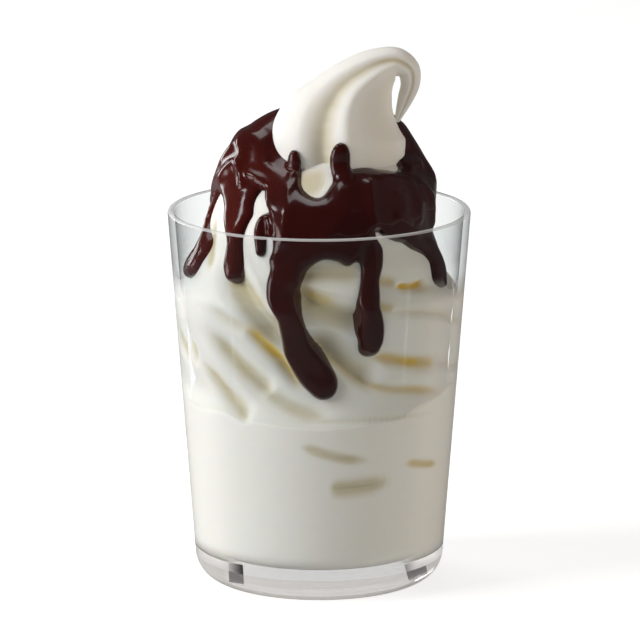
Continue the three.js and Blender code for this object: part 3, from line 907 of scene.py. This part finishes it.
class Skin:
    """The mound's surface unrolled: angles across, and length up the surface."""

    def __init__(self, low, across, pitch):
        fine = np.linspace(low, MOUND[-1, 0], 400)
        radius = through(MOUND, fine, 1)
        steps = np.hypot(np.diff(radius), np.diff(fine))
        self.fine, self.length = fine, np.concatenate([[0], np.cumsum(steps)])
        angle = np.arange(across) * 360 / across - 180
        up = np.arange(0, self.length[-1], pitch)
        self.angle, self.up = np.meshgrid(angle, up)
        self.height = np.interp(self.up, self.length, fine)
        self.radius = through(MOUND, self.height, 1)

    def unrolled(self, stops, count=140):
        """A route's places on the unrolled surface, with its stops' other values."""
        route = spline(stops, np.linspace(0, 1, count))
        route[:, 1] = np.interp(route[:, 1], self.fine, self.length)
        return route

    def inside_run(self, stops):
        """How deep each place lies inside a run, negative outside."""
        best = np.full(self.angle.shape, -30.0)
        for angle, up, half in self.unrolled(stops):
            across = ((self.angle[0] - angle + 180) % 360 - 180) * math.pi / 180
            columns = np.abs(across) * 36 < half + 9
            rows = np.abs(self.up[:, 0] - up) < half + 9
            window = np.ix_(rows, columns)
            d = np.hypot(across[columns] * self.radius[window], self.up[window] - up)
            best[window] = np.maximum(best[window], half - d)
        return best

    def stream(self, stops, above, below):
        """A ridge along a route, with its own spread above and below."""
        route = self.unrolled(stops, 70)
        nearest = np.full(self.angle.shape, 1e3)
        side = np.zeros(self.angle.shape)
        for angle, up in route:
            across = ((self.angle - angle + 180) % 360 - 180) * self.radius * math.pi / 180
            rise = self.up - up
            d = np.hypot(across, rise)
            closer = d < nearest
            nearest[closer] = d[closer]
            side[closer] = rise[closer]
        return np.exp(-((nearest / np.where(side > 0, above, below)) ** 2))

    def inside_edges(self):
        """How deep each place lies between the coat's two edges, negative outside."""
        low = np.interp(round_axis(LOW_EDGE, self.angle[0]), self.fine, self.length)
        high = np.interp(round_axis(HIGH_EDGE, self.angle[0]), self.fine, self.length)
        step = 32 * math.radians(self.angle[0, 1] - self.angle[0, 0])
        slant = lambda edge: np.sqrt(1 + (np.gradient(edge) / step) ** 2)
        below, above = (low - self.up) / slant(low), (self.up - high) / slant(high)
        return -smooth_max(below, above, FINE_FILLET)


def fudge_skin():
    """The fudge as a closed skin: its face above the cream, its back inside it."""
    skin = Skin(low=56, across=640, pitch=0.36)
    depth = skin.inside_edges()
    for stops in RUNS:
        depth = smooth_max(depth, skin.inside_run(stops), FUDGE_FILLET)
    for stops in BARE:
        depth = -smooth_max(-depth, skin.inside_run(stops), 1.2 * FINE_FILLET)
    for stops in LATE_RUNS:
        depth = smooth_max(depth, skin.inside_run(stops), FINE_FILLET)
    share = np.clip(depth / FUDGE_ROUND, 0, 1)
    face = FUDGE_THICK * np.sqrt(1 - (1 - share) ** 2)
    relief = 0
    for amount, above, below, stops in STREAMS:
        relief = relief + amount * skin.stream(stops, above, below)
    face = face + (relief - 0.35) * ease(depth, 0.5, 5.0)
    outside = FUDGE_THICK * np.sqrt(np.clip(-depth / FUDGE_ROUND, 0, 1))
    face = np.where(depth < 0, -outside, face)
    fall = cream_fall(skin.angle, skin.height)
    kept = face > -FUDGE_DEEP
    face = np.maximum(face, -FUDGE_DEEP) - fall * (1 - 0.75 * ease(share, 0, 0.6))
    outer = mound_point(skin.angle, skin.height, face)
    limit = inner_radius(outer[..., 2]) - 0.05
    length = np.hypot(outer[..., 0], outer[..., 1])
    tight = np.where(outer[..., 2] < GLASS_HEIGHT, np.minimum(1, limit / length), 1)
    outer[..., :2] *= tight[..., None]
    inner = mound_point(skin.angle, skin.height, -fall - FUDGE_DEEP - 0.5)
    rows, across = kept.shape
    cells = kept[:-1] | kept[1:]
    cells = cells | np.roll(cells, -1, 1)
    j, i = np.nonzero(cells)
    k = (i + 1) % across
    count = rows * across
    a, b, c, d = j * across + i, j * across + k, (j + 1) * across + k, (j + 1) * across + i
    faces = [np.stack([a, b, c, d], -1), np.stack([d, c, b, a], -1) + count]
    padded = np.pad(cells, ((1, 1), (0, 0)))
    for off, (p, q) in (
        (padded[:-2], (a, b)),
        (padded[2:], (c, d)),
        (np.roll(cells, -1, 1), (b, c)),
        (np.roll(cells, 1, 1), (d, a)),
    ):
        bare = ~off[j, i]
        p, q = p[bare], q[bare]
        faces.append(np.stack([q, p, p + count, q + count], -1))
    faces = np.concatenate(faces)
    used, order = np.unique(faces, return_inverse=True)
    points = np.concatenate([outer.reshape(-1, 3), inner.reshape(-1, 3)])[used]
    return points, order.reshape(-1, 4)


def finger_points(foot, shoulder, angle, reach, half):
    """A finger of fudge from the mound's shoulder up the tip, as a flattened tube."""
    stops = [
        mound_point(*foot, 0.4),
        mound_point(*shoulder, 0.4),
        tip_point(angle, 0.65 * reach, 0.5),
        tip_point(angle, reach, 0.6),
    ]
    around, rows = 20, 28
    t = 1 - (1 - np.linspace(0, 1, rows)) ** 1.6
    route = spline(stops, t)
    along = spline(stops, t + 0.02) - spline(stops, t - 0.02)
    out = np.array([math.sin(math.radians(angle)), -math.cos(math.radians(angle)), 0])
    side = np.cross(along, out)
    side /= np.linalg.norm(side, axis=-1, keepdims=True)
    half = half * np.sqrt(1 - 0.95 * np.clip((t - 0.75) / 0.25, 0, 1) ** 2)
    turn = np.linspace(0, 2 * math.pi, around, endpoint=False)
    points = (
        route[:, None]
        + 0.7 * half[:, None, None] * np.cos(turn)[:, None] * out
        + half[:, None, None] * np.sin(turn)[:, None] * side[:, None]
    ).reshape(-1, 3)
    points = np.concatenate([points, [route[0], route[-1]]])
    return points, rings(rows, around)


def hot_fudge(glossy):
    """The coat, its runs and its fingers, melted into one skin."""
    points, faces = fudge_skin()
    points, faces = list(points), faces.tolist()
    for finger in FINGERS:
        extra, more = finger_points(**finger)
        faces += [[n + len(points) for n in face] for face in more]
        points += list(extra)
    thing = mesh_object("hot_fudge_coat", points, faces)
    thing.data.materials.append(glossy)
    remesh = thing.modifiers.new("one skin", "REMESH")
    remesh.mode = "VOXEL"
    remesh.voxel_size = FUDGE_GRAIN * MM
    remesh.use_smooth_shade = True
    soften = thing.modifiers.new("soften", "SMOOTH")
    soften.factor = 0.5
    soften.iterations = 4
    return finished(thing)


# -------------------------------------------------------------------- stage


def area_light(name, place, aim, width, height, power, colour, without=None):
    """A soft lamp: without "glossy" it isn't mirrored, without "diffuse" it is only mirrored."""
    data = bpy.data.lights.new(name, "AREA")
    data.shape = "RECTANGLE"
    data.size, data.size_y = width, height
    data.energy = power
    data.color = colour
    light = bpy.data.objects.new(name, data)
    light.location = place
    light.rotation_euler = (Vector(aim) - Vector(place)).to_track_quat("-Z", "Y").to_euler()
    light.visible_camera = False
    if without:
        setattr(light, "visible_" + without, False)
    bpy.context.scene.collection.objects.link(light)


def plate(name, centre, across, up, finish):
    """A flat sheet beside the stage: half its width and half its height as vectors."""
    c, u, v = (Vector(p) for p in (centre, across, up))
    corners = [c - u - v, c + u - v, c + u + v, c - u + v]
    thing = mesh_object(name, [tuple(p / MM) for p in corners], [(0, 1, 2, 3)])
    thing.data.materials.append(finish)


# ----------------------------------------------------------------- assembly

wall, base, lip = clear_wall(), thick_glass(), lip_painted_bright()
cream = soft_serve_cream()
glossy = glossy_fudge()

placed = (
    (tumbler(wall, base, lip), "glass"),
    (coil(cream), "soft_serve"),
    (tip(cream), "soft_serve"),
    (hot_fudge(glossy), "hot_fudge"),
)
for piece, node in placed:
    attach(piece, "root")
    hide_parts(node)
    print(piece.name, sum(len(p.vertices) - 2 for p in piece.data.polygons), "triangles")

plate("floor", (0, 0, 0), (6, 0, 0), (0, 6, 0), pale_floor())
# Two dark cards lie under the edge of the glass and show through its base
card = dark_card()
plate("card left", (-0.0236, 0, 0.0002), (0.0021, -0.0012, 0), (-0.0003, 0.0105, 0), card)
plate("card right", (0.0276, 0.0045, 0.0002), (0.0028, 0.0038, 0), (-0.0005, 0.0085, 0), card)

area_light("key", (-1.45, -0.5, 0.85), (0, 0, 0.09), 0.9, 0.9, 26, (1.0, 0.99, 0.98), "glossy")
area_light("fill", (1.6, -0.7, 0.35), (0, 0, 0.06), 1.0, 1.0, 11, (1.0, 0.9, 0.74), "glossy")
area_light("window", (-1.1, 1.05, 0.45), (0, 0, 0.1), 0.55, 0.7, 5, (1.0, 0.99, 0.99))
area_light("high window", (-1.35, -0.12, 1.3), (0, 0, 0.11), 0.34, 0.46, 3.2, (1.0, 0.99, 1.0))
area_light("right panel", (1.7, 0.1, 0.9), (0, 0, 0.1), 2.6, 2.4, 2.0, (1.0, 0.7, 0.74))
area_light("left strip", (-1.5, -0.15, 0.1), (0, 0, 0.08), 0.8, 0.9, 7, (1.0, 0.9, 0.92), "diffuse")
area_light("overhead", (-0.2, 0.5, 1.6), (0, 0, 0.05), 0.8, 0.8, 4, (1.0, 1.0, 1.0))

world = bpy.data.worlds.new("studio")
world.use_nodes = True
world.node_tree.nodes.clear()
air = Graph(world.node_tree)
dim = air.value("ShaderNodeBackground", None, {"Color": (1, 1, 1, 1), "Strength": 0.05})
pale = air.value("ShaderNodeBackground", None, {"Color": (1, 1, 1, 1), "Strength": 0.95})
air.add("ShaderNodeOutputWorld", None, {"Surface": shader_mix(air, looked_at(air), dim, pale)})

scene = bpy.context.scene
scene.view_settings.view_transform = "Standard"

# The camera stands back and a little above, as for a menu picture
distance, elevation, aim = 1.632, math.radians(12.63), Vector((0, 0, 0.0731))
back = Vector((0, -math.cos(elevation), math.sin(elevation)))
lens = bpy.data.cameras.new("camera")
lens.sensor_width = 36
lens.lens = 326.6
lens.shift_x, lens.shift_y = 0.0013, 0.0042
camera = bpy.data.objects.new("camera", lens)
camera.location = aim + back * distance
camera.rotation_euler = (-back).to_track_quat("-Z", "Y").to_euler()
scene.collection.objects.link(camera)
scene.camera = camera
scene.world = world
